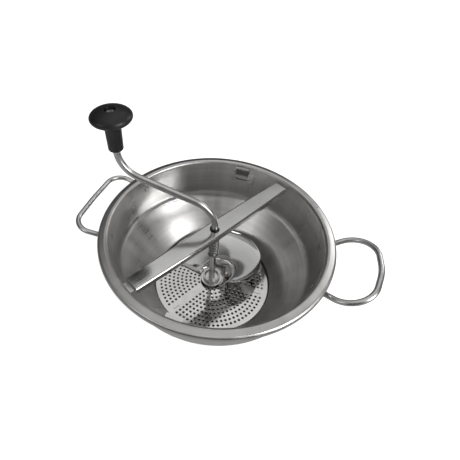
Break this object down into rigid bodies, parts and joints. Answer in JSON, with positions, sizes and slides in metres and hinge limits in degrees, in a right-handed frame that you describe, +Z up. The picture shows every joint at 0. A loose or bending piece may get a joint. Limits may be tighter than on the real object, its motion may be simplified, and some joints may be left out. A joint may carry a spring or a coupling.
{
  "type": "rotary food mill",
  "caption": "Steel bowl with two wire handles, a perforated disc, a sprung crank with a curved press blade, a locking crossbar and a mushroom-shaped knob.",
  "frame": {"origin": "centre of the bowl's base ring, on the plane it stands on", "axes": "+Z up along the bowl and crank axis, X through the two handles, +X towards the right handle in the picture"},
  "size_m": [0.3092, 0.24, 0.2202],
  "materials": {
    "bowl_steel": "satin, turned grain",
    "wire_steel": "polished",
    "bracket_steel": "pressed, half bright",
    "disc_steel": "bright rolled, punched",
    "blade_steel": "bright pressed",
    "dark_clip": "blackened spring steel",
    "knob_black": "smooth matte moulding"
  },
  "bodies": {
    "bowl": {"bowl": "bowl_steel", "handle_right": "wire_steel", "handle_left": "wire_steel", "lug_rear": "bracket_steel", "lug_front": "bracket_steel"},
    "disc": {"milling_disc": "disc_steel"},
    "mechanism": {"upper_spring_washer": "wire_steel", "pressure_spring": "wire_steel"},
    "crossbar": {"crossbar": "bracket_steel"},
    "shaft_seat": {"lower_spring_washer": "wire_steel"},
    "crank": {"crank_rod": "wire_steel", "retaining_clip": "dark_clip", "spring_stop_clip": "dark_clip", "press_blade": "blade_steel", "blade_hub": "blade_steel", "hub_washer": "wire_steel", "knob_screw": "wire_steel", "knob_screw_washer": "wire_steel", "knob_foot_washer": "wire_steel"},
    "knob": {"knob_body": "knob_black"}
  },
  "joints": [
    {"name": "mechanism_lift", "type": "slide", "parent": "bowl", "child": "mechanism", "axis": [0, 0, 1], "range_m": [0, 0.11]},
    {"name": "disc_lift", "type": "slide", "parent": "bowl", "child": "disc", "axis": [0, 0, 1], "range_m": [0, 0.099]},
    {"name": "bar_lock", "type": "hinge", "parent": "mechanism", "child": "crossbar", "pos_m": [0, 0, 0.0965], "axis": [0, 0, 1], "range_deg": [0, 28]},
    {"name": "shaft_float", "type": "slide", "parent": "mechanism", "child": "shaft_seat", "axis": [0, 0, 1], "range_m": [0, 0.005], "stiffness_N_per_m": 2000, "springref_m": -0.008, "deforming": ["pressure_spring"]},
    {"name": "crank_spin", "type": "hinge", "parent": "shaft_seat", "child": "crank", "pos_m": [0, 0, 0.06], "axis": [0, 0, 1], "continuous": true},
    {"name": "knob_spin", "type": "hinge", "parent": "crank", "child": "knob", "pos_m": [-0.09796, -0.0103, 0.2], "axis": [0, 0, 1], "continuous": true}
  ],
  "couplings": [
    {"joint": "disc_lift", "follows": "mechanism_lift", "ratio": 0.9}
  ]
}
